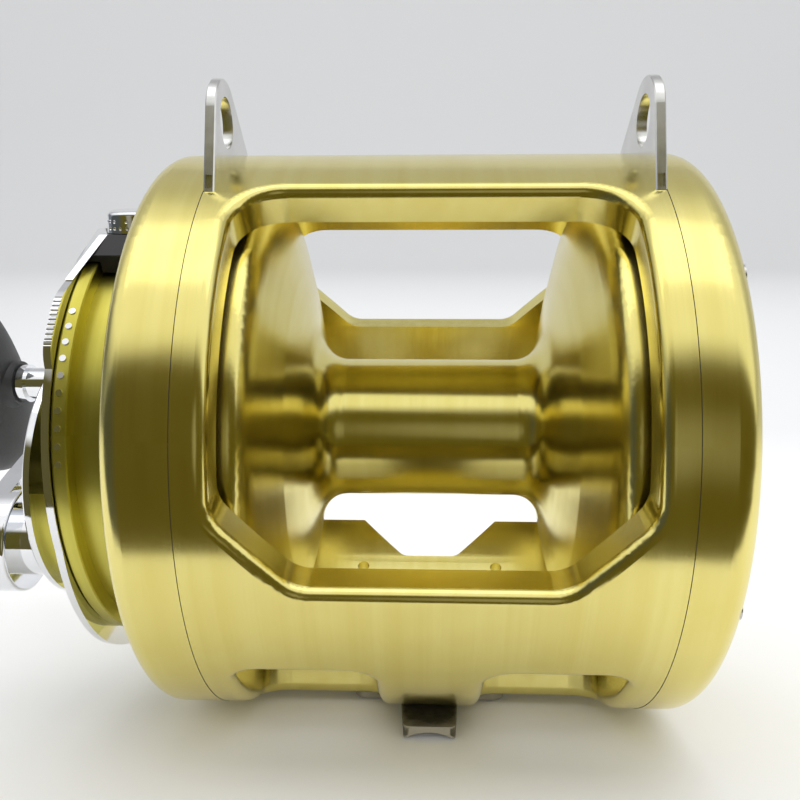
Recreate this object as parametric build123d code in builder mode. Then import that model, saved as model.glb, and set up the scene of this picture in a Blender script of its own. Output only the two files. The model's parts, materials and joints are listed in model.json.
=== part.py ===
"""Two-speed lever-drag trolling reel, as an assembly of separate pieces.

Millimetres, +Z up. X is the spool axis (the handle is at -X), the rod tip is towards -Y and the
angler sits at +Y. The origin is the centre of the rod-clamp stud pattern, on the underside of the
foot. Angles round the spool axis are in degrees: 0 faces the rod tip, 90 is the top, 180 the angler.
Every (y, z) pair given to a helper is measured from the spool axis.
"""
from build123d import *
from math import acos, atan2, cos, degrees, pi, radians, sin, sqrt, tan
import os

os.makedirs("parts", exist_ok=True)

# ---------------------------------------------------------------- driving dimensions
axis_y, axis_z = -8.0, 80.0          # spool axis, from the centre of the rod-clamp studs
running = 0.05                       # radial clearance of everything that turns or slides

frame_radius = 78.0
frame_bore = 69.0
frame_half = 54.0                    # half the frame's width, seam to seam
window_half = 46.5
front_window = (-24.6, 48.5)
rear_window = (112.0, 150.0)
rear_gap = (184.0, 213.5)
bottom_slot = (-83.0, -45.3)
slot_x = (13.0, 47.0)
lip = 2.6                            # rounding of the window lips

foot_width, foot_base = 44.0, 28.0
foot_top, foot_bottom = -75.5, -80.0
tongue_width, tip_width, tongue_length = 16.4, 13.6, 27.0
saddle_top, rod_radius = -78.2, 14.0
foot_screw_grid = (23.0, 17.0)
stud_spacing, stud_hole = 34.0, 3.05

lug_thickness, lug_hole = 2.6, 6.2
lug_y, lug_z = -41.0, 77.3

left_face, right_face = 68.0, -70.0  # outer faces of the two side plates
plate_round_left, plate_round_right = 6.5, 5.0
plate_screw_radius = 72.2
plate_screw_angles = range(30, 390, 60)
web_inner, web_outer = -51.2, -54.7  # bulkhead between the spool and the gears
cavity_radius = 66.5
cover_seat = -66.0
bearing_radius, journal_radius = 13.0, 8.5

shaft_radius = 6.0
spool_half, spool_rim, arbor_radius = 50.0, 66.5, 20.2
drag_face = -44.0                    # machined face of the spool that carries the drag washer
plate_gap = 0.5                      # drag washer to drive plate with the lever at strike

gear_module = 1.0
high_teeth, high_pinion_teeth = 53, 21
low_teeth, low_pinion_teeth = 42, 32
gear_centres = gear_module * (high_teeth + high_pinion_teeth) / 2
gear_y = -20.0                       # handle axis, from the spool axis
gear_z = -sqrt(gear_centres ** 2 - gear_y ** 2)
gear_shaft_radius, stub_radius = 7.0, 5.0
low_x, high_x = (-60.0, -55.4), (-65.4, -60.7)
ratchet_x, ratchet_radius, ratchet_teeth = (-76.0, -72.6), 11.5, 12
pawl_pivot = 17.0

drum_x, drum_radius = -84.0, 56.0
ring_x, ring_radius = -87.9, 59.0
lever_x = (-89.9, -88.1)
shoe_front, shoe_edge, shoe_top = (55.0, 45.3), (61.2, 46.3), (63.8, 51.4)  # (radius, angle)
shoe_depth = 14.0                    # length of the shoe's top face, front to back
knob_lean, knob_x = 72.0, -78.0      # the knob's axis leans at this angle
knob_radius, knob_height = 6.1, 5.3
lever_arm_angle = 52.0
boss_y, boss_z, boss_radius, boss_top = -17.0, -12.0, 31.5, -14.8
boss_x, disc_x, disc_radius = -97.0, -99.0, 33.6

arm_x = (-122.0, -115.0)
grip_y, grip_z = 53.0, 12.5          # grip axis, from the spool axis
grip_x = (-186.0, -152.0)
grip_tilt = -50.0                    # lean of the grip's long axis in the YZ plane
grip_half_length, grip_half_width, grip_half_depth = 40.0, 20.0, 16.0

# ---------------------------------------------------------------- derived places
mesh_angle = atan2(gear_z, gear_y)   # from the spool axis towards the handle axis
cap_screw_angles = (90, 210, 330)
cover_screw_angles = (-5, 55, 115, 175, 245)
disc_screw_points = ((-42.0, -20.0), (-38.0, -32.0), (8.0, -20.0), (-1.0, -34.0))
key_x, keyway_radius = (-64.8, -61.8), 9.5
detent_angles = [29.9 - 4.04 * step for step in range(10)]
click_angle, click_radius = 215.0, 38.0
ball_radius = 1.8
shoe_end = -72.0                     # face of the shoe nearest the side plate
strap_inner = ((lever_x[1], 58.6), (-81.0, 64.8))     # (x, height) of the strap's underside
tip_angle = 50.0                     # middle of the lever's bent tip
lock_angle = atan2(grip_z - gear_z, grip_y - gear_y)
lock_point = (gear_y + 12.4 * cos(lock_angle), gear_z + 12.4 * sin(lock_angle))


# ---------------------------------------------------------------- helpers
on_base = (Align.CENTER, Align.CENTER, Align.MIN)


def around(radius, angle):
    """(y, z) from the spool axis of the point at this radius and angle."""
    return (-radius * cos(radians(angle)), radius * sin(radians(angle)))


def station(x, y=0.0, z=0.0):
    """Plane across the spool axis at x, centred on (y, z); its local axes are Y and Z."""
    return Plane(origin=(x, axis_y + y, axis_z + z), x_dir=(0, 1, 0), z_dir=(1, 0, 0))


def section(y=0.0, z=0.0):
    """Plane through (y, z) for turned profiles: local x is X, local y is the radius."""
    return Plane(origin=(0, axis_y + y, axis_z + z), x_dir=(1, 0, 0), z_dir=(0, -1, 0))


def x_axis(y=0.0, z=0.0):
    return Axis((0, axis_y + y, axis_z + z), (1, 0, 0))


def radial_plane(radius, angle, x):
    """Plane square to a radius, with its normal pointing outwards."""
    y, z = around(radius, angle)
    return Plane(origin=(x, axis_y + y, axis_z + z), x_dir=(1, 0, 0), z_dir=(0, y, z))


def bar(x_from, x_to, radius, y=0.0, z=0.0, mode=Mode.ADD):
    """Round bar along X, added to or cut from the piece being built."""
    with Locations(station(x_from, y, z)):
        Cylinder(radius, x_to - x_from, align=on_base, mode=mode)


def tube(x_from, x_to, inner, outer, y=0.0, z=0.0):
    """Plain ring along X."""
    bar(x_from, x_to, outer, y, z)
    bar(x_from, x_to, inner, y, z, Mode.SUBTRACT)


def slice_face(x, angles, inner=55.0, outer=130.0):
    """Four-sided radial slice between two angles, for cutting windows."""
    low, high = angles
    with BuildSketch(station(x)) as face:
        with BuildLine():
            Polyline(around(inner, low), around(outer, low), around(outer, high),
                     around(inner, high), close=True)
        make_face()
    return face.sketch


def along(angle):
    """Direction of the radius at an angle, for choosing the edges parallel to it."""
    return Axis((0, 0, 0), (0, *around(1, angle)))


def gear_face(x, teeth, y, z, phase, bore, backlash=0.14):
    """Involute spur gear with 20 degree flanks; one tooth is centred on the phase angle."""
    pitch = gear_module * teeth / 2
    base = pitch * cos(radians(20))
    root, tip = pitch - 1.2 * gear_module, pitch + 0.92 * gear_module
    half = pi / (2 * teeth) - backlash / (2 * pitch) + tan(radians(20)) - radians(20)
    radii = [max(base, root) + (tip - max(base, root)) * step / 4 for step in range(5)]
    flank = [(root, half)] if root < base - 0.02 else []
    for radius in radii:
        pressure = acos(min(1.0, base / radius))
        flank.append((radius, half - (tan(pressure) - pressure)))
    outline = []
    for tooth in range(teeth):
        middle = phase + 2 * pi * tooth / teeth
        outline += [(radius * cos(middle - spread), radius * sin(middle - spread))
                    for radius, spread in flank]
        outline += [(radius * cos(middle + spread), radius * sin(middle + spread))
                    for radius, spread in reversed(flank)]
    with BuildSketch(station(x, y, z)) as face:
        with BuildLine():
            Polyline(*outline, close=True)
        make_face()
        if bore:
            Circle(bore, mode=Mode.SUBTRACT)
    return face.sketch


def lug_face(x):
    """Outline of a harness lug: an eye whose sides run down into the frame."""
    with BuildSketch(station(x)) as face:
        with BuildLine():
            CenterArc((lug_y, lug_z), 10.4, 0, 360)
            Polyline(around(69.6, 47.3), around(78, 47.3), around(78.1, 77), around(69.6, 77),
                     close=True)
        make_hull()
        Circle(frame_bore + 1.0, mode=Mode.SUBTRACT)
    return face.sketch


def socket_screw(x_top, towards, head_height, length, y, z, shank=1.8, head=2.8):
    """Socket-head screw along X, its head top at x_top and its shank going towards +1 or -1."""
    under = x_top + towards * head_height
    end = under + towards * length
    bar(min(x_top, under), max(x_top, under), head, y, z)
    bar(min(under, end), max(under, end), shank, y, z)
    with BuildSketch(station(x_top, y, z)) as socket:
        RegularPolygon(head * 0.5, 6)
    extrude(socket.sketch, amount=towards * head_height * 0.6, mode=Mode.SUBTRACT)


def counterbore(x_top, towards, head_height, length, y, z, shank=1.8, head=2.8):
    """Hole for a socket screw whose head top would be at x_top; it is open above the head."""
    under = x_top + towards * head_height
    end = under + towards * length
    above = x_top - towards * 6
    bar(min(above, under), max(above, under), head, y, z, Mode.SUBTRACT)
    bar(min(under, end), max(under, end), shank, y, z, Mode.SUBTRACT)


def ratchet_face(x, tip, root, teeth, y, z, bore):
    """Saw-toothed wheel with a round bore."""
    pitch = 2 * pi / teeth
    outline = []
    for tooth in range(teeth):
        start = mesh_angle + pitch * tooth
        outline.append((tip * cos(start), tip * sin(start)))
        outline.append((root * cos(start + 0.15 * pitch), root * sin(start + 0.15 * pitch)))
    with BuildSketch(station(x, y, z)) as face:
        with BuildLine():
            Polyline(*outline, close=True)
        make_face()
        Circle(bore, mode=Mode.SUBTRACT)
    return face.sketch


def pawl_points(side):
    """Pivot and tip of a pawl, side +1 or -1 of the line between the two axes."""
    pivot = mesh_angle + pi + side * radians(75)
    tip = pivot - radians(30)
    reach = ratchet_radius + 1.1
    return (gear_y + pawl_pivot * cos(pivot), gear_z + pawl_pivot * sin(pivot),
            gear_y + reach * cos(tip), gear_z + reach * sin(tip))


def detent_planes(radius):
    """Planes square to the radius at each detent stud."""
    return [radial_plane(radius, angle, (ring_x + drum_x) / 2) for angle in detent_angles]


def boss_face(x, radius):
    """The part of the gear boss below its flat top."""
    with BuildSketch(station(x)) as face:
        with Locations((boss_y, boss_z)):
            Circle(radius)
        with Locations((boss_y, boss_top + 50)):
            Rectangle(200, 100, mode=Mode.SUBTRACT)
    return face.sketch


def click_face(x, length, width, radius):
    """Rectangle lying along the radius that the click slide moves on."""
    with BuildSketch(station(x)) as face:
        with PolarLocations(radius, 1, start_angle=180 - click_angle):
            Rectangle(length, width)
    return face.sketch


def tip_plane(distance):
    """Plane in the lever's tip: local x is X, local y is the radius at the tip's angle."""
    y, z = around(1, tip_angle)
    return Plane(origin=(0, axis_y - distance * z, axis_z + distance * y),
                 x_dir=(1, 0, 0), z_dir=(0, -z, y))


def knob_plane(height, x=knob_x):
    """Plane square to the knob's axis at a height over the shoe's top face."""
    back_y, back_z = sin(radians(knob_lean)), cos(radians(knob_lean))
    top_y, top_z = around(*shoe_top)
    up_y, up_z = around(1, knob_lean)
    reach = knob_radius + 0.3
    return Plane(origin=(x, axis_y + top_y + reach * back_y + height * up_y,
                         axis_z + top_z + reach * back_z + height * up_z),
                 x_dir=(1, 0, 0), z_dir=(0, up_y, up_z))


def shoe_outline(x, front, edge):
    """Side view of the lever's tip: front face, bevel and leaning top face."""
    top_y, top_z = around(*shoe_top)
    back = (top_y + shoe_depth * sin(radians(knob_lean)),
            top_z + shoe_depth * cos(radians(knob_lean)))
    with BuildSketch(station(x)) as face:
        with BuildLine():
            Polyline(around(*front), around(*edge), (top_y, top_z), back, around(55.0, 64.0),
                     close=True)
        make_face()
    return face.sketch


def finish(piece, name):
    """Label a piece and write it as the node of that name."""
    piece.part.label = name
    export_step(piece.part, f"parts/{name}.step")


# ---------------------------------------------------------------- frame
with BuildPart() as front_cut:
    extrude(slice_face(-window_half, front_window), amount=2 * window_half)
    chamfer(front_cut.edges().filter_by(along(front_window[0])), length=17.0)
    fillet(front_cut.edges().filter_by(along(front_window[0])), radius=8)
    fillet(front_cut.edges().filter_by(along(front_window[1])), radius=12)

with BuildPart() as rear_cut:
    extrude(slice_face(-window_half, rear_window), amount=2 * window_half)
    chamfer(rear_cut.edges().filter_by(along(rear_window[1])), length=17.0)
    fillet(rear_cut.edges().filter_by(along(rear_window[1])), radius=8)
    fillet(rear_cut.edges().filter_by(along(rear_window[0])), radius=12)

with BuildPart() as gap_cut:
    extrude(slice_face(-window_half, rear_gap), amount=2 * window_half)
    fillet(gap_cut.edges().filter_by(along(rear_gap[0])), radius=8)
    fillet(gap_cut.edges().filter_by(along(rear_gap[1])), radius=6)

with BuildPart() as slot_cut:
    extrude(slice_face(slot_x[0], bottom_slot), amount=slot_x[1] - slot_x[0])
    for edge_angle in bottom_slot:
        fillet(slot_cut.edges().filter_by(along(edge_angle)), radius=7)
    mirror(about=Plane.YZ)

# trapezoid notch in the rear edge of the bottom plate, deepest on the centre line
notch_plane = radial_plane(60.0, rear_gap[1], 0)
with BuildPart() as notch_cut:
    with BuildSketch(notch_plane):
        with BuildLine():
            Polyline((-38.5, -14), (-9.5, 14.5), (9.5, 14.5), (38.5, -14), close=True)
        make_face()
    extrude(amount=30)
    fillet(notch_cut.edges().filter_by(Axis((0, 0, 0), tuple(notch_plane.z_dir)))
           .sort_by(Axis.Y)[:2], radius=5)

with BuildPart() as frame:
    tube(-frame_half, frame_half, frame_bore, frame_radius)
    for cutter in (front_cut, rear_cut, gap_cut, slot_cut, notch_cut):
        add(cutter.part, mode=Mode.SUBTRACT)
    skin = [face for face in frame.faces().filter_by(GeomType.CYLINDER)
            if abs(face.radius - frame_radius) < 0.01]
    fillet([edge for face in skin for wire in face.inner_wires() for edge in wire.edges()], lip)
    # rebates for the harness lugs, open at the seams
    for seam in (-frame_half, frame_half - lug_thickness):
        extrude(lug_face(seam), amount=lug_thickness, mode=Mode.SUBTRACT)
    # milled seat for the foot, and the holes of its four screws
    with BuildSketch(Plane.XY.offset(axis_z + foot_bottom - 1)) as seat:
        Rectangle(foot_width, foot_base)
        Rectangle(tongue_width, 64)
    extrude(seat.sketch, amount=foot_top - foot_bottom + 1, mode=Mode.SUBTRACT)
    with Locations(Plane.XY.offset(axis_z + foot_top)):
        with GridLocations(*foot_screw_grid, 2, 2):
            Cylinder(2.0, 5.5, align=on_base, mode=Mode.SUBTRACT)
        with GridLocations(stud_spacing, 1, 2, 1):
            Cylinder(stud_hole + 0.4, 3.0, align=on_base, mode=Mode.SUBTRACT)
    # two small drain holes in the bottom plate
    with Locations(radial_plane(60.0, 229.5, -23.6), radial_plane(60.0, 229.5, 23.6)):
        Cylinder(2.0, 60, mode=Mode.SUBTRACT)
    # tapped holes for the side-plate screws
    for angle in plate_screw_angles:
        bar(-frame_half, -frame_half + 6.5, 1.8, *around(plate_screw_radius, angle), Mode.SUBTRACT)
        bar(frame_half - 6.5, frame_half, 1.8, *around(plate_screw_radius, angle), Mode.SUBTRACT)
finish(frame, "frame")

for side, seam in (("right", -frame_half), ("left", frame_half - lug_thickness)):
    with BuildPart() as lug:
        extrude(lug_face(seam), amount=lug_thickness)
        chamfer(lug.faces().sort_by(Axis.X)[0].edges().filter_by(GeomType.LINE)
                + lug.faces().sort_by(Axis.X)[-1].edges().filter_by(GeomType.LINE), 0.3)
        bar(seam, seam + lug_thickness, lug_hole, lug_y, lug_z, Mode.SUBTRACT)
        # small square relief at the foot of the front edge
        relief_y, relief_z = around(79.0, 47.5)
        with Locations(station(seam + lug_thickness / 2, relief_y - 0.6, relief_z + 1.6)):
            Box(4.0, 3.2, lug_thickness - 1.0, mode=Mode.SUBTRACT)
    finish(lug, f"harness_lug_{side}")


# ---------------------------------------------------------------- foot
with BuildPart() as reel_foot:
    with BuildSketch(Plane.XY.offset(axis_z + foot_bottom)) as plan:
        RectangleRounded(foot_width - 2 * running, foot_base - 2 * running, 4)
        Rectangle(tongue_width - 2 * running, foot_base + 6)
    extrude(plan.sketch, amount=foot_top - foot_bottom)
    # tongues: they narrow and thin towards the tips
    for end in (-1, 1):
        root = Plane(origin=(0, end * (foot_base / 2 + 3), axis_z + foot_top),
                     x_dir=(-end, 0, 0), z_dir=(0, end, 0))
        with BuildSketch(root) as tongue_root:
            with Locations((0, (foot_bottom - foot_top) / 2)):
                Rectangle(tongue_width - 2 * running, foot_top - foot_bottom)
        with BuildSketch(root.offset(tongue_length - 3)) as tongue_tip:
            with Locations((0, (foot_bottom - foot_top - 1.2) / 2)):
                Rectangle(tip_width, foot_top - foot_bottom - 1.2)
        loft([tongue_root.sketch, tongue_tip.sketch], ruled=True)
    tips = reel_foot.edges().filter_by(Axis.Z).group_by(Axis.Y)
    fillet(tips[0] + tips[-1], 1.8)
    with Locations(Plane(origin=(0, 0, axis_z + saddle_top - rod_radius), z_dir=(0, 1, 0))):
        Cylinder(rod_radius, 120, mode=Mode.SUBTRACT)
    with Locations(Plane.XY.offset(axis_z + foot_bottom)):
        with GridLocations(*foot_screw_grid, 2, 2):
            Cylinder(2.0, 20, mode=Mode.SUBTRACT)
            Cone(4.0, 2.0, 2.0, align=on_base, mode=Mode.SUBTRACT)
        with GridLocations(stud_spacing, 1, 2, 1):
            Cylinder(stud_hole, 20, mode=Mode.SUBTRACT)
finish(reel_foot, "reel_foot")

with BuildPart() as foot_screws:
    with Locations(Plane.XY.offset(axis_z + foot_bottom)):
        with GridLocations(*foot_screw_grid, 2, 2):
            Cone(4.0, 2.0, 2.0, align=on_base)
            Cylinder(2.0, foot_top - foot_bottom + 5.5, align=on_base)
            Cylinder(1.3, 1.2, align=on_base, mode=Mode.SUBTRACT)
finish(foot_screws, "foot_screws")


# ---------------------------------------------------------------- side plates
with BuildPart() as right_side_plate:
    with BuildSketch(section()):
        with BuildLine():
            Polyline((right_face, frame_radius - plate_round_right), (right_face, frame_bore),
                     (cover_seat, frame_bore), (cover_seat, cavity_radius),
                     (web_outer, cavity_radius), (web_outer, bearing_radius),
                     (web_inner, bearing_radius), (web_inner, frame_bore - running),
                     (-frame_half, frame_bore - running), (-frame_half, frame_radius),
                     (right_face + plate_round_right, frame_radius))
            RadiusArc((right_face + plate_round_right, frame_radius),
                      (right_face, frame_radius - plate_round_right), -plate_round_right)
        make_face()
    revolve(axis=x_axis())
    bar(web_outer, web_inner, 8.0, gear_y, gear_z, Mode.SUBTRACT)
    for angle in cover_screw_angles:
        bar(cover_seat, web_outer, 4.5, *around(62.5, angle))
        bar(cover_seat, cover_seat + 6, 1.4, *around(62.5, angle), Mode.SUBTRACT)
    for angle in plate_screw_angles:
        counterbore(right_face + 0.6, 1, 3.4, 12, *around(plate_screw_radius, angle))
finish(right_side_plate, "right_side_plate")

with BuildPart() as left_side_plate:
    with BuildSketch(section()):
        with BuildLine():
            Polyline((left_face, frame_radius - plate_round_left), (left_face, 17.0),
                     (65.5, 17.0), (65.5, journal_radius), (56.0, journal_radius), (56.0, 13.0),
                     (64.0, 13.0), (64.0, 66.0), (-web_inner, 66.0),
                     (-web_inner, frame_bore - running), (frame_half, frame_bore - running),
                     (frame_half, frame_radius), (left_face - plate_round_left, frame_radius))
            RadiusArc((left_face - plate_round_left, frame_radius),
                      (left_face, frame_radius - plate_round_left), plate_round_left)
        make_face()
    revolve(axis=x_axis())
    for angle in plate_screw_angles:
        counterbore(left_face - 0.6, -1, 3.4, 12, *around(plate_screw_radius, angle))
    for angle in cap_screw_angles:
        bar(58, 66, 1.2, *around(10.9, angle), Mode.SUBTRACT)
    extrude(click_face(62, 10.6, 5.3, click_radius - 2), amount=8, mode=Mode.SUBTRACT)
finish(left_side_plate, "left_side_plate")

for name, top, towards in (("right_plate_screws", right_face + 0.6, 1),
                           ("left_plate_screws", left_face - 0.6, -1)):
    with BuildPart() as screws:
        for angle in plate_screw_angles:
            reach = abs(top) - 3.4 - (frame_half - 6.0)
            socket_screw(top, towards, 3.4, reach, *around(plate_screw_radius, angle))
    finish(screws, name)

with BuildPart() as left_bearing_cap:
    bar(65.5, 69.5, 17.0)
    fillet(left_bearing_cap.faces().sort_by(Axis.X)[-1].edges(), 2.0)
    for angle in cap_screw_angles:
        counterbore(69.0, -1, 1.6, 8, *around(10.9, angle), shank=1.2, head=2.1)
finish(left_bearing_cap, "left_bearing_cap")

with BuildPart() as left_cap_screws:
    for angle in cap_screw_angles:
        socket_screw(69.0, -1, 1.6, 8.6, *around(10.9, angle), shank=1.2, head=2.1)
finish(left_cap_screws, "left_cap_screws")

with BuildPart() as left_shaft_bush:
    tube(56.0, 65.5, shaft_radius + running, journal_radius)
finish(left_shaft_bush, "left_shaft_bush")


# ---------------------------------------------------------------- spool and its shaft
with BuildPart() as spool:
    with BuildSketch(section()):
        with BuildLine():
            # from the drag side outwards, over the rim, along the arbor and back
            Polyline((drag_face, 14.0), (drag_face, 56.0), (-46.0, 61.5), (-spool_half, 61.5),
                     (-spool_half, 65.5), (-spool_half + 1, spool_rim), (-45.5, spool_rim))
            Spline((-45.5, spool_rim), (-42.6, 65.0), (-40.4, 60.0),
                   tangents=((1, 0), (0.27, -1)))
            Line((-40.4, 60.0), (-36.4, 45.4))
            Line((-36.4, 45.4), (-33.2, 30.0))
            Spline((-33.2, 30.0), (-30.6, 23.4), (-24.0, arbor_radius),
                   tangents=((0.2, -1), (1, 0)))
            Line((-24.0, arbor_radius), (24.0, arbor_radius))
            Spline((24.0, arbor_radius), (30.6, 23.4), (33.2, 30.0),
                   tangents=((1, 0), (0.2, 1)))
            Line((33.2, 30.0), (36.4, 45.4))
            Line((36.4, 45.4), (40.4, 60.0))
            Spline((40.4, 60.0), (42.6, 65.0), (45.5, spool_rim),
                   tangents=((0.27, 1), (1, 0)))
            Polyline((45.5, spool_rim), (spool_half - 1, spool_rim), (spool_half, 65.5),
                     (spool_half, 61.5), (44.6, 61.5), (42.8, 57.0), (40.0, 45.0), (37.0, 32.0),
                     (37.0, 22.0), (46.0, 22.0), (46.0, 14.0), (34.0, 14.0), (34.0, 12.0),
                     (27.0, 12.0), (27.0, 9.5), (-27.0, 9.5), (-27.0, 12.0), (-34.0, 12.0),
                     (-34.0, 14.0), (drag_face, 14.0))
        make_face()
    revolve(axis=x_axis())
finish(spool, "spool")

with BuildPart() as spool_bearings:
    for start in (-33.0, 27.0):
        tube(start, start + 6, shaft_radius + running, 12.0)
        for face_x, depth in ((start, 0.5), (start + 6, -0.5)):
            with BuildSketch(station(face_x)) as shield:
                Circle(10.6)
                Circle(7.6, mode=Mode.SUBTRACT)
            extrude(shield.sketch, amount=depth, mode=Mode.SUBTRACT)
finish(spool_bearings, "spool_bearings")

with BuildPart() as drag_washer:
    tube(drag_face - 2.0, drag_face, 30.0, 52.0)
finish(drag_washer, "drag_washer")

with BuildPart() as click_gear:
    extrude(ratchet_face(46.0, 24.0, 22.0, 40, 0, 0, 14.0), amount=2.0)
finish(click_gear, "click_gear")

with BuildPart() as spool_shaft:
    bar(-100.0, 63.5, shaft_radius)
    bar(-112.0, -100.0, 5.0)
    chamfer(spool_shaft.faces().sort_by(Axis.X)[0].edges(), 0.6)
    chamfer(spool_shaft.faces().sort_by(Axis.X)[-1].edges(), 0.6)
finish(spool_shaft, "spool_shaft")


# ---------------------------------------------------------------- drive plate and pinion
plate_x = drag_face - 2.0 - plate_gap
with BuildPart() as pinion:
    with BuildSketch(station(plate_x - 3.4)) as hub:
        RegularPolygon(12.0, 6)
    extrude(hub.sketch, amount=3.4)
    bar(low_x[1], plate_x - 3.4, journal_radius)
    extrude(gear_face(low_x[0], low_pinion_teeth, 0, 0, mesh_angle + pi / low_pinion_teeth, 0),
            amount=low_x[1] - low_x[0])
    bar(high_x[1], low_x[0], journal_radius)
    extrude(gear_face(high_x[0], high_pinion_teeth, 0, 0, mesh_angle + pi / high_pinion_teeth, 0),
            amount=high_x[1] - high_x[0])
    bar(right_face - 0.2, high_x[0], journal_radius)
    bar(right_face - 1, plate_x + 1, shaft_radius + running, mode=Mode.SUBTRACT)
finish(pinion, "pinion")

with BuildPart() as drive_plate:
    with BuildSketch(station(plate_x - 3.4)) as plate:
        Circle(53.0)
        RegularPolygon(12.0, 6, mode=Mode.SUBTRACT)
        with PolarLocations(21.0, 6):
            Circle(5.0, mode=Mode.SUBTRACT)
    extrude(plate.sketch, amount=3.4)
finish(drive_plate, "drive_plate")

with BuildPart() as pinion_bearings:
    for start, end in ((web_outer, web_inner), (right_face, cover_seat)):
        tube(start, end, journal_radius + running, bearing_radius)
finish(pinion_bearings, "pinion_bearings")


# ---------------------------------------------------------------- handle shaft and its gears
with BuildPart() as gear_shaft:
    bar(low_x[1], web_inner - 0.2, stub_radius, gear_y, gear_z)
    bar(-116.0, low_x[1], gear_shaft_radius, gear_y, gear_z)
    bar(-128.0, -116.0, 6.0, gear_y, gear_z)
    bar(-129.0, high_x[0] + 0.6, 2.2, gear_y, gear_z, Mode.SUBTRACT)
    bar(-129.0, -118.0, 4.3, gear_y, gear_z, Mode.SUBTRACT)
    with Locations(station((key_x[0] + key_x[1]) / 2, gear_y, gear_z)):
        Box(3.0, 30.0, key_x[1] - key_x[0], mode=Mode.SUBTRACT)
finish(gear_shaft, "gear_shaft")

with BuildPart() as shift_key:
    with Locations(station((key_x[0] + key_x[1]) / 2, gear_y, gear_z)):
        Box(3.0, 2 * keyway_radius, key_x[1] - key_x[0])
finish(shift_key, "shift_key")

for name, span, teeth, bore in (("high_speed_gear", high_x, high_teeth, gear_shaft_radius),
                                ("low_speed_gear", low_x, low_teeth,
                                 gear_shaft_radius + running)):
    with BuildPart() as gear:
        extrude(gear_face(span[0], teeth, gear_y, gear_z, mesh_angle + pi, bore),
                amount=span[1] - span[0])
        with Locations(station(sum(span) / 2, gear_y, gear_z)):
            Box(3.0, 2 * keyway_radius, span[1] - span[0], mode=Mode.SUBTRACT)
        with BuildSketch(station(span[0], gear_y, gear_z)) as lightening:
            with PolarLocations(teeth * 0.325, 6, start_angle=30):
                Circle(teeth * 0.07)
        extrude(lightening.sketch, amount=span[1] - span[0], mode=Mode.SUBTRACT)
    finish(gear, name)

with BuildPart() as ratchet:
    extrude(ratchet_face(ratchet_x[0], ratchet_radius, 9.2, ratchet_teeth, gear_y, gear_z,
                         gear_shaft_radius), amount=ratchet_x[1] - ratchet_x[0])
finish(ratchet, "ratchet")

with BuildPart() as gear_shaft_bearings:
    tube(web_outer, web_inner, stub_radius + running, 8.0, gear_y, gear_z)
    tube(right_face, cover_seat, gear_shaft_radius + running, 11.0, gear_y, gear_z)
    tube(boss_x, boss_x + 5, gear_shaft_radius + running, 12.0, gear_y, gear_z)
finish(gear_shaft_bearings, "gear_shaft_bearings")

for name, side in (("pawl_front", 1), ("pawl_rear", -1)):
    pivot_y, pivot_z, tip_y, tip_z = pawl_points(side)
    with BuildPart() as pawl:
        with BuildSketch(station(ratchet_x[0])) as outline:
            with BuildLine():
                CenterArc((pivot_y, pivot_z), 3.0, 0, 360)
                CenterArc((tip_y, tip_z), 0.8, 0, 360)
            make_hull()
            with Locations((pivot_y, pivot_z)):
                Circle(1.5 + running, mode=Mode.SUBTRACT)
        extrude(outline.sketch, amount=ratchet_x[1] - ratchet_x[0])
    finish(pawl, name)

with BuildPart() as pawl_pins:
    for side in (1, -1):
        pivot_y, pivot_z, *_ = pawl_points(side)
        bar(ratchet_x[0] - 3, right_face, 1.5, pivot_y, pivot_z)
        bar(ratchet_x[0] - 3.6, ratchet_x[0] - 3, 2.6, pivot_y, pivot_z)
finish(pawl_pins, "pawl_pins")

with BuildPart() as pawl_springs:
    for side in (1, -1):
        pivot_y, pivot_z, *_ = pawl_points(side)
        tube(ratchet_x[0] - 2.6, ratchet_x[0] - 0.3, 1.6, 2.4, pivot_y, pivot_z)
finish(pawl_springs, "pawl_springs")


# ---------------------------------------------------------------- drag quadrant
with BuildPart() as quadrant_housing:
    with BuildSketch(section()):
        with BuildLine():
            Polyline((cover_seat, bearing_radius), (cover_seat, frame_bore - running),
                     (right_face, frame_bore - running), (right_face, drum_radius),
                     (drum_x, drum_radius - 0.8), (drum_x, 51.0), (right_face, 51.0),
                     (right_face, bearing_radius), close=True)
        make_face()
    revolve(axis=x_axis())
    bar(right_face, cover_seat, 11.0, gear_y, gear_z, Mode.SUBTRACT)
    for side in (1, -1):
        pivot_y, pivot_z, *_ = pawl_points(side)
        bar(right_face - 1, right_face + 1, 1.5, pivot_y, pivot_z, Mode.SUBTRACT)
    for angle in cover_screw_angles:
        counterbore(right_face, 1, 2.0, 3, *around(62.5, angle), shank=1.4, head=2.6)
finish(quadrant_housing, "quadrant_housing")

with BuildPart() as quadrant_ring:
    with BuildSketch(section()):
        with BuildLine():
            Polyline((ring_x, 14.5), (ring_x, ring_radius - 0.8), (ring_x + 0.8, ring_radius),
                     (drum_x - 0.3, ring_radius), (drum_x, ring_radius - 0.3), (drum_x, 49.0),
                     (ring_x + 2.6, 49.0), (ring_x + 2.6, 14.5), close=True)
        make_face()
    revolve(axis=x_axis())
    bar(ring_x, ring_x + 3, gear_shaft_radius + 1, gear_y, gear_z, Mode.SUBTRACT)
    with Locations(*detent_planes(ring_radius - 2.0)):
        Cylinder(0.8, 6, align=on_base, mode=Mode.SUBTRACT)
finish(quadrant_ring, "quadrant_ring")

with BuildPart() as detent_studs:
    with Locations(*detent_planes(ring_radius - 2.0)):
        Cylinder(0.8, 2.25, align=on_base)
finish(detent_studs, "detent_studs")

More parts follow.
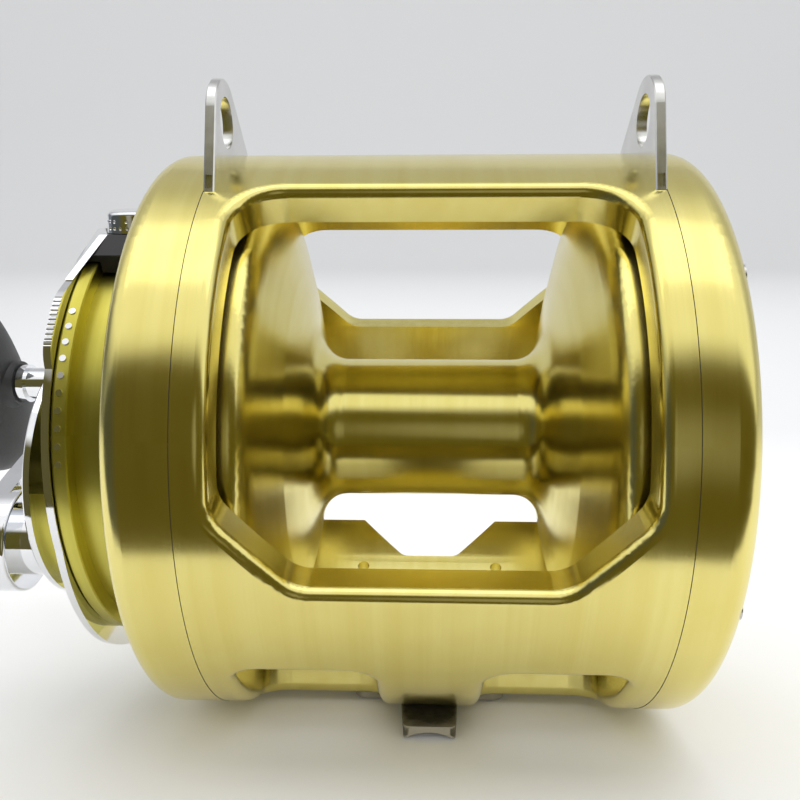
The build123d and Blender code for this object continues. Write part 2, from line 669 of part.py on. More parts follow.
with BuildPart() as gear_boss:
    extrude(boss_face(boss_x, boss_radius), amount=ring_x - boss_x)
    bar(boss_x, boss_x + 5, 12.0, gear_y, gear_z, Mode.SUBTRACT)
    bar(boss_x, ring_x, gear_shaft_radius + 1, gear_y, gear_z, Mode.SUBTRACT)
    for y, z in disc_screw_points:
        bar(boss_x, boss_x + 6, 1.4, y, z, Mode.SUBTRACT)
finish(gear_boss, "gear_boss")

with BuildPart() as gear_cover_plate:
    bar(disc_x, boss_x, disc_radius, boss_y, boss_z)
    chamfer(gear_cover_plate.faces().sort_by(Axis.X)[0].edges(), 0.5)
    bar(disc_x, boss_x, 8.5, mode=Mode.SUBTRACT)
    bar(disc_x, boss_x, 10.6, gear_y, gear_z, Mode.SUBTRACT)
    for y, z in disc_screw_points:
        bar(disc_x, boss_x, 1.4, y, z, Mode.SUBTRACT)
        bar(disc_x, disc_x + 1.2, 2.4, y, z, Mode.SUBTRACT)
finish(gear_cover_plate, "gear_cover_plate")

with BuildPart() as cover_screws:
    for y, z in disc_screw_points:
        socket_screw(disc_x, 1, 1.2, 6, y, z, shank=1.4, head=2.4)
    for angle in cover_screw_angles:
        socket_screw(right_face, 1, 2.0, 8.0, *around(62.5, angle), shank=1.4, head=2.6)
finish(cover_screws, "cover_screws")

ball_points = [around(11.6, angle) for angle in (90, 210, 330)]
with BuildPart() as cam_plate:
    tube(-75.0, right_face, 9.2, 14.0)
    for y, z in ball_points:
        with Locations(station(-75.0, y, z)):
            Sphere(ball_radius, mode=Mode.SUBTRACT)
finish(cam_plate, "cam_plate")

with BuildPart() as cam_balls:
    for y, z in ball_points:
        with Locations(station(-75.0, y, z)):
            Sphere(ball_radius)
finish(cam_balls, "cam_balls")


# ---------------------------------------------------------------- drag lever
with BuildPart() as drag_lever:
    # strap that bends over the ring and carries the shoe
    with BuildSketch(tip_plane(-16.0)) as strap:
        with BuildLine():
            Polyline((lever_x[0], 54.0), (lever_x[0], 58.8), (-83.0, 64.8), strap_inner[1],
                     strap_inner[0], (lever_x[1], 54.0), close=True)
        make_face()
    extrude(strap.sketch, amount=32.0)
    extrude(shoe_outline(lever_x[0] - 1, (52.0, 37.0), (59.7, 39.0)), amount=12,
            mode=Mode.INTERSECT)
    with BuildSketch(station(lever_x[0])) as plate:
        Circle(ring_radius)
        with Locations(around(8.0, -100)):
            Circle(57.0)
        with BuildLine():
            # thumb ramp on the front of the rim
            Spline(around(58.8, 15), around(61.4, 20), around(61.7, 26), around(61.5, 32),
                   around(60.1, 37), around(58.8, 42))
            Polyline(around(58.8, 42), around(50, 30), around(58.8, 15))
        make_face()
        Circle(ring_radius - 5.6, mode=Mode.SUBTRACT)
        with BuildLine():
            # flat arm from the hub out to the rim, under the tip
            Polyline(around(10, lever_arm_angle - 90), around(57, lever_arm_angle - 10),
                     around(57, lever_arm_angle + 10), around(10, lever_arm_angle + 90),
                     close=True)
        make_face()
        Circle(14.0)
    extrude(plate.sketch, amount=lever_x[1] - lever_x[0])
    bar(-96.5, lever_x[0], 12.0)
    bar(-97, lever_x[1], 6.3, mode=Mode.SUBTRACT)
    bar(-97, -91.5, 9.0, mode=Mode.SUBTRACT)
    # serrations along the thumb ramp
    for step in range(11):
        y, z = around(61.75, 20.0 + 1.2 * step)
        with Locations(station((lever_x[0] + lever_x[1]) / 2, y, z)):
            Cylinder(0.45, 3, mode=Mode.SUBTRACT)
finish(drag_lever, "drag_lever")

with BuildPart() as lever_shoe:
    extrude(shoe_outline(lever_x[1], shoe_front, shoe_edge), amount=shoe_end - lever_x[1])
    bar(lever_x[1], drum_x + 0.6, ring_radius + 0.5, mode=Mode.SUBTRACT)
    bar(drum_x + 0.6, shoe_end, drum_radius + 0.5, mode=Mode.SUBTRACT)
    # the side under the strap
    with BuildSketch(tip_plane(-20.0)) as side:
        with BuildLine():
            Polyline(strap_inner[0], strap_inner[1], (-81.0, 70.0), (-95.0, 70.0), (-95.0, 50.0),
                     (lever_x[1], 50.0), close=True)
        make_face()
    extrude(side.sketch, amount=40.0, mode=Mode.SUBTRACT)
    with Locations(knob_plane(1.0)):
        Cylinder(2.5 + running, 20, mode=Mode.SUBTRACT)
finish(lever_shoe, "lever_shoe")

with BuildPart() as lever_knob:
    with Locations(knob_plane(0.2)):
        Cone(knob_radius, knob_radius - 0.5, knob_height, align=on_base)
    knob_top = lever_knob.faces().sort_by(Axis((0, 0, 0), (0, *around(1, knob_lean))))[-1]
    fillet(knob_top.edges(), 1.2)
    with Locations(knob_plane(-2.0)):
        Cylinder(2.5, 3, align=on_base)
    for height in (1.4, 3.1):
        with Locations(knob_plane(height)):
            with PolarLocations(knob_radius + 0.05, 22):
                Sphere(0.55, mode=Mode.SUBTRACT)
finish(lever_knob, "lever_knob")

with BuildPart() as lever_cam:
    tube(lever_x[1], -75.5, 6.3, 14.5 - running)
    with Locations(station(-75.0)):
        Torus(11.6, ball_radius + 0.15, mode=Mode.SUBTRACT)
finish(lever_cam, "lever_cam")

with BuildPart() as thrust_bearing:
    tube(-94.8, -92.2, shaft_radius, 8.8)
    bar(-93.8, -93.2, 9, mode=Mode.SUBTRACT)
    tube(-93.8, -93.2, shaft_radius, 8.0)
finish(thrust_bearing, "thrust_bearing")

with BuildPart() as preset_washers:
    for start in (-97.3, -96.0):
        with BuildSketch(section()):
            with BuildLine():
                Polyline((start, 8.2), (start + 0.6, shaft_radius), (start + 1.2, shaft_radius),
                         (start + 0.6, 8.2), close=True)
            make_face()
        revolve(axis=x_axis())
finish(preset_washers, "preset_washers")

with BuildPart() as preset_knob:
    bar(-113.4, -100.0, 13.0)
    chamfer(preset_knob.edges().group_by(Axis.X)[0], 1.5)
    with BuildSketch(station(-112.0)) as flutes:
        with PolarLocations(13.6, 16):
            Circle(1.5)
    extrude(flutes.sketch, amount=9, mode=Mode.SUBTRACT)
    bar(-100.0, -97.6, 7.5)
    bar(-112.2, -97.6, 5.0 + running, mode=Mode.SUBTRACT)
    bar(-100.1, -97.6, shaft_radius + running, mode=Mode.SUBTRACT)
finish(preset_knob, "preset_knob")


# ---------------------------------------------------------------- handle
with BuildPart() as handle_collar:
    tube(-112.0, boss_x - 0.3, gear_shaft_radius, 10.0, gear_y, gear_z)
finish(handle_collar, "handle_collar")

with BuildPart() as handle_arm:
    with BuildSketch(station(arm_x[0])) as outline:
        with BuildLine():
            CenterArc((gear_y, gear_z), 14.6, 0, 360)
            CenterArc((grip_y, grip_z), 9.5, 0, 360)
        make_hull()
    extrude(outline.sketch, amount=arm_x[1] - arm_x[0])
    chamfer(handle_arm.edges().group_by(Axis.X)[0], 1.6)
    bar(arm_x[1], arm_x[1] + 3, 14.6, gear_y, gear_z)
    fillet(handle_arm.edges().group_by(Axis.X)[-1], 0.8)
    bar(-116.0, -112.0, gear_shaft_radius, gear_y, gear_z, Mode.SUBTRACT)
    bar(arm_x[0], -116.0, 6.0, gear_y, gear_z, Mode.SUBTRACT)
    bar(*arm_x, 5.0, grip_y, grip_z, Mode.SUBTRACT)
    bar(arm_x[0], -116.0, 1.2, *lock_point, Mode.SUBTRACT)
finish(handle_arm, "handle_arm")

with BuildPart() as handle_nut:
    with BuildSketch(station(arm_x[0] - 5.5, gear_y, gear_z)) as nut:
        RegularPolygon(10.0, 6, rotation=10)
        Circle(6.0, mode=Mode.SUBTRACT)
    extrude(nut.sketch, amount=5.5)
    chamfer(handle_nut.edges().group_by(Axis.X)[0].filter_by(GeomType.LINE), 0.7)
finish(handle_nut, "handle_nut")

with BuildPart() as handle_lock_screw:
    bar(arm_x[0] - 2.0, arm_x[0], 2.3, *lock_point)
    bar(arm_x[0], -116.0, 1.2, *lock_point)
    bar(arm_x[0] - 2.0, arm_x[0] - 1.0, 1.0, *lock_point, Mode.SUBTRACT)
finish(handle_lock_screw, "handle_lock_screw")

with BuildPart() as grip_post:
    bar(*arm_x, 5.0, grip_y, grip_z)
    bar(grip_x[1], arm_x[0], 5.75, grip_y, grip_z)
    bar(grip_x[1] + 0.4, grip_x[1] + 3.0, 7.0, grip_y, grip_z)
    bar(-180.0, grip_x[1], 4.5, grip_y, grip_z)
    bar(-180.0, -170.0, 2.0, grip_y, grip_z, Mode.SUBTRACT)
finish(grip_post, "grip_post")

with BuildPart() as grip_screw:
    bar(-182.4, -180.0, 6.0, grip_y, grip_z)
    bar(-180.0, -170.0, 2.0, grip_y, grip_z)
    with BuildSketch(station(-182.4, grip_y, grip_z)) as socket:
        RegularPolygon(2.2, 6)
    extrude(socket.sketch, amount=1.4, mode=Mode.SUBTRACT)
finish(grip_screw, "grip_screw")

grip_axis = Plane(origin=(-170.0, axis_y + grip_y, axis_z + grip_z), x_dir=(1, 0, 0),
                  z_dir=(0, cos(radians(grip_tilt)), sin(radians(grip_tilt))))
with BuildPart() as handle_grip:
    for step in range(-6, 7):
        distance = 0.99 * grip_half_length * sin(radians(15 * step))
        swell = (1 - abs(distance / grip_half_length) ** 2.4) ** (1 / 2.4)
        with BuildSketch(grip_axis.offset(distance)):
            Ellipse(grip_half_depth * swell, grip_half_width * swell)
    loft()
    with BuildSketch(section(grip_y, grip_z)):
        with BuildLine():
            Line((-170, 4), (-170, 14))
            Line((-170, 14), (-160, 14))
            Spline((-160, 14), (-155.5, 9.6), (grip_x[1] - 0.3, 8.2),
                   tangents=((0.6, -1), (1, -0.1)))
            Line((grip_x[1] - 0.3, 8.2), (grip_x[1] - 0.3, 4))
            Line((grip_x[1] - 0.3, 4), (-170, 4))
        make_face()
    revolve(axis=x_axis(grip_y, grip_z))
    bar(-190, grip_x[1] + 2, 4.5 + running, grip_y, grip_z, Mode.SUBTRACT)
    bar(-190, -179.7, 6.6, grip_y, grip_z, Mode.SUBTRACT)
finish(handle_grip, "handle_grip")

with BuildPart() as grip_cap:
    bar(-185.4, -183.0, 6.6, grip_y, grip_z)
    fillet(grip_cap.edges().group_by(Axis.X)[0], 0.8)
finish(grip_cap, "grip_cap")

with BuildPart() as shift_button:
    bar(-132.5, -127.9, 4.15, gear_y, gear_z)
    fillet(shift_button.edges().group_by(Axis.X)[0], 1.0)
    bar(-127.9, key_x[0] - 4.2, 2.15, gear_y, gear_z)
finish(shift_button, "shift_button")

with BuildPart() as shift_spring:
    with BuildLine() as coil:
        Helix(pitch=1.65, height=8.6, radius=3.3,
              center=(-127.2, axis_y + gear_y, axis_z + gear_z), direction=(1, 0, 0))
    with BuildSketch(Plane(origin=coil.line @ 0, z_dir=coil.line % 0)):
        Circle(0.4)
    sweep(path=coil.line)
finish(shift_spring, "shift_spring")


# ---------------------------------------------------------------- click slide
with BuildPart() as click_button:
    extrude(click_face(left_face + 0.3, 16, 9, click_radius), amount=4.2)
    fillet(click_button.edges().group_by(Axis.X)[-1], 1.2)
    extrude(click_face(63.7, 6, 5, click_radius), amount=left_face + 0.3 - 63.7)
    extrude(click_face(60.4, 12.5, 7, click_radius - 3.2), amount=3.3)
    extrude(click_face(45.8, 3.6, 5, 30.4), amount=14.6)
finish(click_button, "click_button")
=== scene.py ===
"""Looks, light and camera for the trolling reel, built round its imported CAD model."""

import json
import math

import bpy
from mathutils import Matrix, Vector


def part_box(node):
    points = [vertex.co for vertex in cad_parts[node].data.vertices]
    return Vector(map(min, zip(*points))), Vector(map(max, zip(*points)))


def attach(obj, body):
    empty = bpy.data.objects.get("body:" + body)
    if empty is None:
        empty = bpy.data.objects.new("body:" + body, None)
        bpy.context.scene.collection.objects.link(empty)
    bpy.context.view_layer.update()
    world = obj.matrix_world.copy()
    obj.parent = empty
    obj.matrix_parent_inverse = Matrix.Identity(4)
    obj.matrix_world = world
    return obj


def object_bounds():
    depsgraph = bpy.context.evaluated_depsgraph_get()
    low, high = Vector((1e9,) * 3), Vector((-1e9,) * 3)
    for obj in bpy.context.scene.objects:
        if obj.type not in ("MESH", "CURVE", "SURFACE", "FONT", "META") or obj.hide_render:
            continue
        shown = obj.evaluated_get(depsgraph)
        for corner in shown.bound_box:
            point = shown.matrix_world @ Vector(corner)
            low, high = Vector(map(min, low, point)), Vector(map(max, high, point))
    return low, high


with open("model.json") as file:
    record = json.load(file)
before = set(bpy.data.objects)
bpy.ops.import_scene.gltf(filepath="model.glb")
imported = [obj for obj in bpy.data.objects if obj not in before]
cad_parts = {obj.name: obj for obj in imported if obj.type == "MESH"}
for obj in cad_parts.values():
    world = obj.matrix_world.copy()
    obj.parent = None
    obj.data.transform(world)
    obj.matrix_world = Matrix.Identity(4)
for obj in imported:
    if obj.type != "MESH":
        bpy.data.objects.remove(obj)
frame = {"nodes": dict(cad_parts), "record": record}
cad_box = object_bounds()
nodes = frame["nodes"]

joints = {joint["name"]: joint for joint in frame["record"]["behaviour"]["joints"]}
SPOOL_AXIS = Vector(joints["spool_spin"]["pos_m"])
FLOOR_Z = cad_box[0].z - 0.0005
FLOOR_EDGE = -0.135         # front edge of the floor that the gold reflects
WALL_FOOT = 0.9             # where the floor starts to bend up into the back wall
WALL_BEND = 0.8             # radius of that bend
WALL_TOP = 2.2
STAGE_HALF_WIDTH = 3.0
STAGE_GREY = 0.88
SHARP_EDGE = math.radians(28)


# ---------------------------------------------------------------- node helpers
class Tree:
    """A node tree with short calls for adding nodes and wiring their inputs."""

    def __init__(self, tree):
        self.tree = tree
        tree.nodes.clear()

    def add(self, kind, inputs=None, **settings):
        made = self.tree.nodes.new(kind)
        for key, value in settings.items():
            setattr(made, key, value)
        for key, value in (inputs or {}).items():
            if isinstance(value, bpy.types.NodeSocket):
                self.tree.links.new(value, made.inputs[key])
            else:
                made.inputs[key].default_value = value
        return made

    def math(self, operation, a, b=0.0):
        return self.add("ShaderNodeMath", {0: a, 1: b}, operation=operation).outputs[0]

    def ramp(self, value, stops):
        """Colour ramp from a list of (position, colour or grey)."""
        made = self.add("ShaderNodeValToRGB", {"Fac": value})
        elements = made.color_ramp.elements
        while len(elements) < len(stops):
            elements.new(1.0)
        for element, (position, colour) in zip(elements, stops):
            element.position = position
            element.color = (*colour, 1) if isinstance(colour, tuple) else (colour,) * 3 + (1,)
        return made.outputs["Color"]

    def mix(self, factor, a, b, blend="MIX"):
        made = self.add("ShaderNodeMix", {0: factor, 6: a, 7: b}, data_type="RGBA", blend_type=blend)
        return made.outputs[2]

    def remap(self, value, low, high, start=0.0, end=1.0):
        made = self.add("ShaderNodeMapRange", {"Value": value, "From Min": start, "From Max": end,
                                               "To Min": low, "To Max": high})
        return made.outputs["Result"]

    def noise(self, vector, scale, detail=2.0, roughness=0.5):
        made = self.add("ShaderNodeTexNoise", {"Vector": vector, "Scale": scale, "Detail": detail,
                                               "Roughness": roughness})
        return made.outputs["Fac"]


def material(name):
    made = bpy.data.materials.new(name)
    made.use_nodes = True
    return made, Tree(made.node_tree)


def close(tree, inputs, height=None, strength=0.3, distance=0.0001):
    """Ends a material in a Principled shader with an optional bump."""
    if height is not None:
        inputs["Normal"] = tree.add("ShaderNodeBump", {"Height": height, "Strength": strength,
                                                       "Distance": distance}).outputs["Normal"]
    shader = tree.add("ShaderNodeBsdfPrincipled", inputs)
    tree.add("ShaderNodeOutputMaterial", {"Surface": shader.outputs["BSDF"]})


def turned_vector(tree, axis, across):
    """Coordinates for lathe marks: fine along X and the radius, slow round the axis."""
    round_scale = 2.4
    place = tree.add("ShaderNodeTexCoord").outputs["Object"]
    moved = tree.add("ShaderNodeVectorMath", {0: place, 1: axis}, operation="SUBTRACT").outputs[0]
    parts = tree.add("ShaderNodeSeparateXYZ", {0: moved}).outputs
    square = tree.math("ADD", tree.math("MULTIPLY", parts["Y"], parts["Y"]),
                       tree.math("MULTIPLY", parts["Z"], parts["Z"]))
    radius = tree.math("SQRT", square)
    turn = tree.math("ARCTAN2", parts["Z"], parts["Y"])
    vector = tree.add("ShaderNodeCombineXYZ", {
        "X": tree.math("MULTIPLY", parts["X"], across), "Y": tree.math("MULTIPLY", radius, across),
        "Z": tree.math("MULTIPLY", turn, round_scale)}).outputs[0]
    return vector, place


def turned_metal(name, light, deep, rough, anisotropy, across=5200.0, marks=0.05):
    """Metal turned on a lathe: lathe marks, slow colour drift, light handling wear."""
    made, tree = material(name)
    vector, place = turned_vector(tree, SPOOL_AXIS, across)
    fine = tree.noise(vector, 1.0, 3.0, 0.62)
    broad = tree.noise(vector, 0.05, 2.0)
    cloud = tree.noise(place, 38.0, 3.0, 0.55)
    smudge = tree.noise(place, 140.0, 4.0, 0.6)
    drift = tree.math("ADD", tree.math("MULTIPLY", cloud, 0.45), tree.math("MULTIPLY", broad, 0.55))
    colour = tree.mix(tree.remap(drift, 0.0, 1.0, 0.38, 0.62), (*deep, 1), (*light, 1))
    streak = tree.remap(fine, 0.975, 1.015, 0.3, 0.7)
    streaks = tree.add("ShaderNodeCombineXYZ", {"X": streak, "Y": streak, "Z": streak}).outputs[0]
    colour = tree.mix(1.0, colour, streaks, "MULTIPLY")
    roughness = tree.math("ADD", tree.remap(fine, rough - 0.02, rough + 0.02, 0.3, 0.7),
                          tree.remap(smudge, -0.01, 0.02, 0.35, 0.7))
    tangent = tree.add("ShaderNodeTangent", direction_type="RADIAL", axis="X").outputs[0]
    close(tree, {"Base Color": colour, "Metallic": 1.0, "Roughness": roughness,
                 "Anisotropic": anisotropy, "Anisotropic Rotation": 0.25, "Tangent": tangent},
          fine, marks, 0.00006)
    return made


def plain_metal(name, light, deep, rough, grain=(1.0, 1.0, 1.0), marks=0.08, spread=0.04):
    """Metal with straight or even grain: grain scales the noise along each row axis."""
    made, tree = material(name)
    place = tree.add("ShaderNodeTexCoord").outputs["Object"]
    scaled = tree.add("ShaderNodeMapping", {"Vector": place, "Scale": grain}).outputs[0]
    fine = tree.noise(scaled, 900.0, 3.0, 0.6)
    smudge = tree.noise(place, 90.0, 4.0, 0.6)
    colour = tree.mix(tree.remap(smudge, 0.0, 1.0, 0.35, 0.65), (*deep, 1), (*light, 1))
    roughness = tree.math("ADD", tree.remap(fine, rough - spread / 2, rough + spread / 2, 0.3, 0.7),
                          tree.remap(smudge, 0.0, spread, 0.4, 0.7))
    close(tree, {"Base Color": colour, "Metallic": 1.0, "Roughness": roughness}, fine, marks, 0.00004)
    return made


def cast_metal():
    """Sand-textured dark casting with brighter worn edges."""
    made, tree = material("cast_foot")
    place = tree.add("ShaderNodeTexCoord").outputs["Object"]
    grit = tree.noise(place, 2600.0, 4.0, 0.7)
    lumps = tree.noise(place, 420.0, 3.0, 0.55)
    edge = tree.add("ShaderNodeNewGeometry").outputs["Pointiness"]
    worn = tree.remap(tree.math("ADD", edge, tree.math("MULTIPLY", lumps, 0.05)), 0.0, 1.0, 0.545, 0.60)
    skin = tree.mix(tree.remap(lumps, 0.0, 1.0, 0.3, 0.7),
                    (0.095, 0.088, 0.062, 1), (0.165, 0.150, 0.108, 1))
    colour = tree.mix(worn, skin, (0.46, 0.43, 0.36, 1))
    roughness = tree.remap(grit, 0.38, 0.58, 0.3, 0.7)
    height = tree.math("ADD", tree.math("MULTIPLY", grit, 0.5), lumps)
    close(tree, {"Base Color": colour, "Metallic": 0.75, "Roughness": roughness}, height, 0.4, 0.00025)
    return made


def moulded(name, colour, deep, rough, grain, strength, coat=0.0):
    """Black moulded plastic or rubber with a fine pebbled skin."""
    made, tree = material(name)
    place = tree.add("ShaderNodeTexCoord").outputs["Object"]
    cells = tree.add("ShaderNodeTexVoronoi", {"Vector": place, "Scale": grain}).outputs["Distance"]
    dust = tree.noise(place, 160.0, 5.0, 0.65)
    shade = tree.mix(tree.remap(dust, 0.0, 1.0, 0.35, 0.75), (*deep, 1), (*colour, 1))
    roughness = tree.remap(dust, rough - 0.06, rough + 0.08, 0.3, 0.7)
    close(tree, {"Base Color": shade, "Roughness": roughness, "Coat Weight": coat,
                 "Coat Roughness": 0.12}, cells, strength, 0.00012)
    return made


def woven_carbon():
    """Two-by-two weave for the drag washer."""
    made, tree = material("carbon_weave")
    place = tree.add("ShaderNodeTexCoord").outputs["Object"]
    turned = tree.add("ShaderNodeMapping", {"Vector": place, "Rotation": (0, math.pi / 2, 0)}).outputs[0]
    weave = tree.add("ShaderNodeTexChecker", {"Vector": turned, "Scale": 900.0}).outputs["Fac"]
    strands = tree.noise(place, 5000.0, 1.0)
    colour = tree.mix(weave, (0.018, 0.018, 0.02, 1), (0.05, 0.05, 0.053, 1))
    height = tree.math("ADD", weave, tree.math("MULTIPLY", strands, 0.4))
    close(tree, {"Base Color": colour, "Roughness": tree.remap(weave, 0.35, 0.55)}, height, 0.3, 0.0001)
    return made


gold = turned_metal("gold_frame", (0.86, 0.765, 0.285), (0.81, 0.70, 0.225), 0.20, 0.45)
gold_plate = turned_metal("gold_side_plate", (0.86, 0.76, 0.28), (0.80, 0.69, 0.22), 0.205, 0.45,
                          across=4400.0)
gold_spool = turned_metal("gold_spool", (0.85, 0.755, 0.28), (0.80, 0.695, 0.22), 0.21, 0.6,
                          across=6000.0, marks=0.04)
gold_ring = turned_metal("gold_quadrant", (0.66, 0.60, 0.13), (0.56, 0.50, 0.085), 0.36, 0.3)
gold_preset = turned_metal("gold_preset", (0.82, 0.72, 0.25), (0.74, 0.63, 0.18), 0.28, 0.4)
stainless = plain_metal("stainless_lug", (0.80, 0.80, 0.78), (0.66, 0.66, 0.645), 0.20, (1.0, 1.0, 0.06))
chrome = plain_metal("chrome", (0.88, 0.89, 0.91), (0.82, 0.83, 0.86), 0.05, marks=0.02, spread=0.03)
steel = plain_metal("ground_steel", (0.70, 0.70, 0.70), (0.55, 0.55, 0.56), 0.28, (0.08, 1.0, 1.0))
gear_steel = plain_metal("gear_steel", (0.60, 0.59, 0.56), (0.46, 0.455, 0.44), 0.34, (1.0, 0.3, 0.3), 0.15)
bronze = plain_metal("bronze_bush", (0.72, 0.50, 0.24), (0.58, 0.38, 0.17), 0.30)
foot = cast_metal()
black = moulded("black_shoe", (0.010, 0.010, 0.011), (0.005, 0.005, 0.006), 0.34, 1500.0, 0.04, 0.1)
grip = moulded("black_grip", (0.045, 0.045, 0.047), (0.022, 0.022, 0.024), 0.48, 1300.0, 0.22)
carbon = woven_carbon()

FINISHES = {"gold": gold, "spool_gold": gold_spool, "preset_gold": gold_preset, "stainless": stainless,
            "foot": foot, "steel": steel, "gears": gear_steel, "bronze": bronze, "carbon": carbon,
            "chrome": chrome, "black": black, "grip": grip}
OWN_FINISH = {"left_side_plate": gold_plate, "right_side_plate": gold_plate, "quadrant_housing": gold_ring,
              "quadrant_ring": gold_ring, "gear_boss": gold_ring, "detent_studs": chrome}


def wear(piece, finish):
    piece.data.materials.clear()
    piece.data.materials.append(finish)


slots = {part["node"]: part["material_slot"] for part in frame["record"]["subparts"]}
for name, node in nodes.items():
    wear(node, OWN_FINISH.get(name, FINISHES[slots[name]]))
    node.data.shade_smooth()
    node.data.set_sharp_from_angle(angle=SHARP_EDGE)
    even = node.modifiers.new("even_normals", "WEIGHTED_NORMAL")
    even.weight, even.keep_sharp = 90, True


# ---------------------------------------------------------------- fine detail pieces
def mesh_piece(name, vertices, faces, finish, body="root"):
    mesh = bpy.data.meshes.new(name)
    mesh.from_pydata(vertices, [], faces)
    mesh.validate()
    mesh.shade_smooth()
    piece = bpy.data.objects.new(name, mesh)
    bpy.context.scene.collection.objects.link(piece)
    wear(piece, finish)
    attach(piece, body)
    return piece


def around(radius, angle, x):
    """Point at a radius and angle round the spool axis; 0 degrees is the front, 90 the top."""
    turn = math.radians(angle)
    return SPOOL_AXIS + Vector((x, -radius * math.cos(turn), radius * math.sin(turn)))


def ribbon(name, x_range, radius, angles, finish, thickness=0.00006, step=1.0):
    """Thin curved band on a cylinder, with chamfered long edges so that it reads as a fine line."""
    start, end = angles
    count = max(2, round((end - start) / step))
    low, high = x_range
    inset = (high - low) * 0.2
    profile = [(low, radius - thickness), (low + inset, radius + thickness),
               (high - inset, radius + thickness), (high, radius - thickness)]
    vertices = [around(r, start + (end - start) * i / count, x)
                for i in range(count + 1) for x, r in profile]
    faces = [(4 * i + k, 4 * i + (k + 1) % 4, 4 * i + 4 + (k + 1) % 4, 4 * i + 4 + k)
             for i in range(count) for k in range(4)]
    faces += [(3, 2, 1, 0), tuple(4 * count + k for k in range(4))]
    return mesh_piece(name, vertices, faces, finish)


groove = moulded("seam_shadow", (0.020, 0.016, 0.008), (0.010, 0.008, 0.004), 0.6, 4000.0, 0.1)
engraving = moulded("engraved_line", (0.035, 0.030, 0.020), (0.018, 0.015, 0.010), 0.5, 3000.0, 0.1)
frame_low, frame_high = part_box("frame")
FRAME_RADIUS = (frame_high.y - frame_low.y) / 2
SEAM_HALF_WIDTH = 0.00011
for side, seam in (("right", frame_low.x), ("left", frame_high.x)):
    width = (seam - SEAM_HALF_WIDTH, seam + SEAM_HALF_WIDTH)
    ribbon(f"seam_line_{side}", width, FRAME_RADIUS, (0, 360), groove)
stripe_ends, stripe_angles = (-0.010, 0.0145), (83.2, 83.45)
ribbon("pin_stripe", stripe_ends, FRAME_RADIUS, stripe_angles, engraving, 0.00003, 0.25)


# ---------------------------------------------------------------- camera
def look(position, forward, roll):
    """Camera rotation for a viewing direction with a roll about it, in radians."""
    back = -Vector(forward).normalized()
    right = Vector((0, 0, 1)).cross(back).normalized()
    up = back.cross(right)
    turned_right = right * math.cos(roll) + up * math.sin(roll)
    turned_up = up * math.cos(roll) - right * math.sin(roll)
    rows = Matrix((turned_right, turned_up, back)).transposed().to_4x4()
    return Matrix.Translation(position) @ rows


CAMERA_PLACE = Vector((-0.000777, -0.246238, 0.091601))
CAMERA_AIM = (-0.0356179, 0.99924263, -0.01566952)
CAMERA_ROLL = 0.0052
lens = bpy.data.cameras.new("camera")
lens.lens, lens.sensor_width, lens.clip_start = 35.68, 36.0, 0.01
camera = bpy.data.objects.new("camera", lens)
bpy.context.scene.collection.objects.link(camera)
camera.matrix_world = look(CAMERA_PLACE, CAMERA_AIM, CAMERA_ROLL)
bpy.context.scene.camera = camera


# ---------------------------------------------------------------- floor, light
def staged_sweep(name, path):
    """Floor or back wall as one sheet, painted darker towards the back as shade: path is its (y, z) line,
    drawn at both sides of the stage.
    """
    mesh = bpy.data.meshes.new(name)
    points = [(side * STAGE_HALF_WIDTH, y, z) for side in (-1, 1) for y, z in path]
    count = len(path)
    mesh.from_pydata(points, [], [(i, count + i, count + i + 1, i + 1) for i in range(count - 1)])
    mesh.shade_smooth()
    piece = bpy.data.objects.new(name, mesh)
    bpy.context.scene.collection.objects.link(piece)
    made, tree = material(name)
    place = tree.add("ShaderNodeTexCoord").outputs["Object"]
    depth = tree.add("ShaderNodeSeparateXYZ", {0: place}).outputs["Y"]
    # painted shade: between y 0.3 and 1.1 the colour runs from the near grey to a darker grey, so the back
    # wall is painted dim in place of less light reaching it; the noise adds random tone
    noise_tone_and_painted_falloff = tree.math("MULTIPLY", tree.remap(tree.noise(place, 3.0, 2.0), 0.85, 1.0),
                     tree.remap(depth, 1.0, 0.0, 0.3, 1.1))
    painted_shade_far_colour = (STAGE_GREY * 0.76, STAGE_GREY * 0.765, STAGE_GREY * 0.77, 1)
    near_colour = (STAGE_GREY, STAGE_GREY, STAGE_GREY * 0.99, 1)
    shade = tree.mix(noise_tone_and_painted_falloff, painted_shade_far_colour, near_colour)
    close(tree, {"Base Color": shade, "Roughness": 0.7})
    wear(piece, made)
    return piece


def wall_bend(angle):
    """Point on the bend between floor and back wall, at an angle in degrees from its foot."""
    turn = math.radians(angle)
    return WALL_FOOT + WALL_BEND * math.sin(turn), FLOOR_Z + WALL_BEND * (1 - math.cos(turn))


sweep = [(y, FLOOR_Z) for y in (FLOOR_EDGE, 0.0, 0.4, WALL_FOOT)]
sweep += [wall_bend(5 * step) for step in range(1, 19)]
sweep += [(WALL_FOOT + WALL_BEND, WALL_TOP)]
staged_sweep("floor", sweep)
# the floor in front of that edge is kept out of the gold's reflections, which are dark low in front
apron = staged_sweep("floor_apron", [(-STAGE_HALF_WIDTH, FLOOR_Z), (FLOOR_EDGE, FLOOR_Z)])
apron.visible_glossy = apron.visible_diffuse = apron.visible_shadow = False


def area_light(name, place, target, size, power, colour):
    """Rectangular lamp at a place, turned to face its target."""
    data = bpy.data.lights.new(name, "AREA")
    data.shape, data.size, data.size_y = "RECTANGLE", size[0], size[1]
    data.energy, data.color = power, colour
    light = bpy.data.objects.new(name, data)
    bpy.context.scene.collection.objects.link(light)
    light.location = place
    light.rotation_euler = (Vector(target) - Vector(place)).to_track_quat("-Z", "Y").to_euler()
    return light


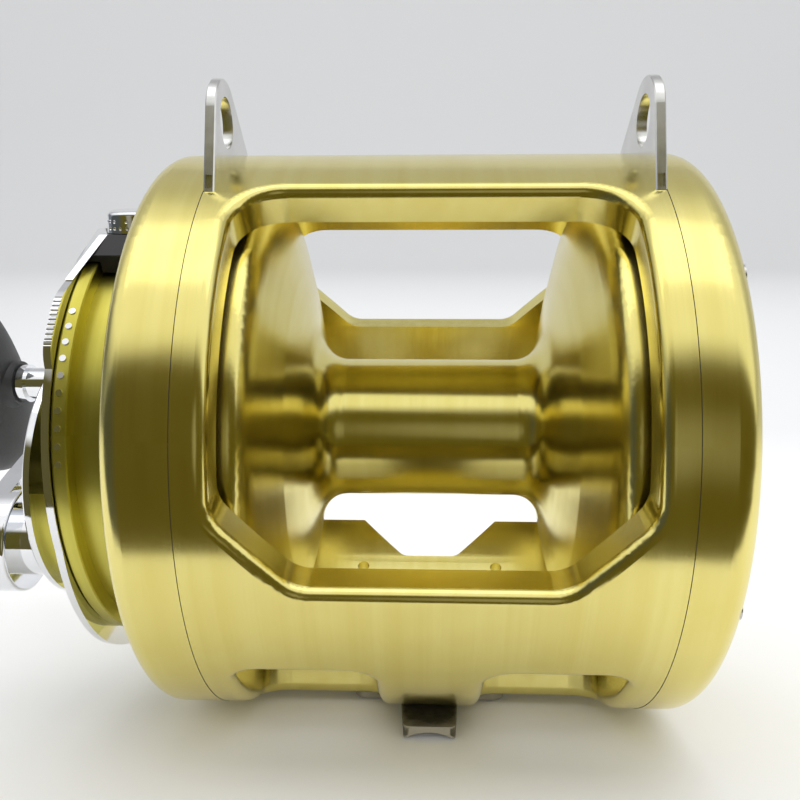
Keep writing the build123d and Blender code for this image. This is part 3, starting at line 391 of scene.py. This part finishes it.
REEL_MIDDLE = (0, 0, 0.08)
area_light("top_softbox", (0.0, -0.35, 1.05), REEL_MIDDLE, (1.5, 0.5), 1.6, (1.0, 0.99, 0.97))
rear = area_light("rear_softbox", (0.0, 1.2, 0.9), REEL_MIDDLE, (2.2, 1.0), 12.0, (0.97, 0.98, 1.0))
fill = area_light("front_fill", (0.0, -1.0, 0.45), (0, 0, 0), (1.2, 0.6), 2.5, (1.0, 1.0, 0.98))
rear.visible_glossy = fill.visible_glossy = False


def sky():
    """Studio surroundings by direction: dark room behind the camera, bright box above, pale wall."""
    world = bpy.data.worlds.new("studio")
    bpy.context.scene.world = world
    world.use_nodes = True
    tree = Tree(world.node_tree)
    direction = tree.add("ShaderNodeTexCoord").outputs["Generated"]
    parts = tree.add("ShaderNodeSeparateXYZ", {0: direction}).outputs
    elevation = tree.math("ARCTAN2", parts["Z"], tree.math("MULTIPLY", parts["Y"], -1.0))
    turn = tree.remap(elevation, 0.0, 1.0, -math.pi, math.pi)
    # 0 and 1 are level behind the reel, 0.25 straight down, 0.5 level in front and 0.75 straight up
    reflected = tree.ramp(turn, [
        (0.0, (0.62, 0.63, 0.65)), (0.20, (0.30, 0.27, 0.22)), (0.31, (0.105, 0.088, 0.015)),
        (0.57, (0.115, 0.096, 0.018)), (0.60, (1.05, 1.05, 1.03)), (0.75, (1.0, 1.01, 1.02)),
        (0.80, (0.55, 0.55, 0.56)), (0.90, (0.46, 0.46, 0.47)), (1.0, (0.62, 0.63, 0.65))])
    # a pale shape beside the lens, and a cold dark side where the chrome looks
    facing = tree.add("ShaderNodeVectorMath", {0: direction, 1: Vector((0.16, -0.985, -0.06))},
                      operation="DOT_PRODUCT").outputs["Value"]
    reflected = tree.mix(tree.remap(facing, 0.0, 0.30, 0.955, 0.992), reflected, (0.85, 0.85, 0.82, 1))
    cold = tree.math("MULTIPLY", tree.remap(parts["X"], 1.0, 0.0, -0.75, -0.35),
                     tree.remap(parts["Z"], 1.0, 0.0, 0.25, 0.5))
    reflected = tree.mix(tree.math("MULTIPLY", cold, 0.75), reflected, (0.06, 0.075, 0.10, 1))
    seen = tree.ramp(tree.remap(parts["Z"], 0.0, 1.0, -0.1, 0.5),
                     [(0.0, (0.80, 0.81, 0.83)), (0.4, (0.70, 0.71, 0.73)), (1.0, (0.74, 0.75, 0.77))])
    path = tree.add("ShaderNodeLightPath").outputs
    shade = tree.mix(path["Is Diffuse Ray"], reflected, (0.98, 0.98, 0.99, 1))
    shade = tree.mix(path["Is Camera Ray"], shade, seen)
    background = tree.add("ShaderNodeBackground", {"Color": shade, "Strength": 1.0})
    tree.add("ShaderNodeOutputWorld", {"Surface": background.outputs[0]})


sky()
bpy.context.scene.view_settings.view_transform = "Standard"
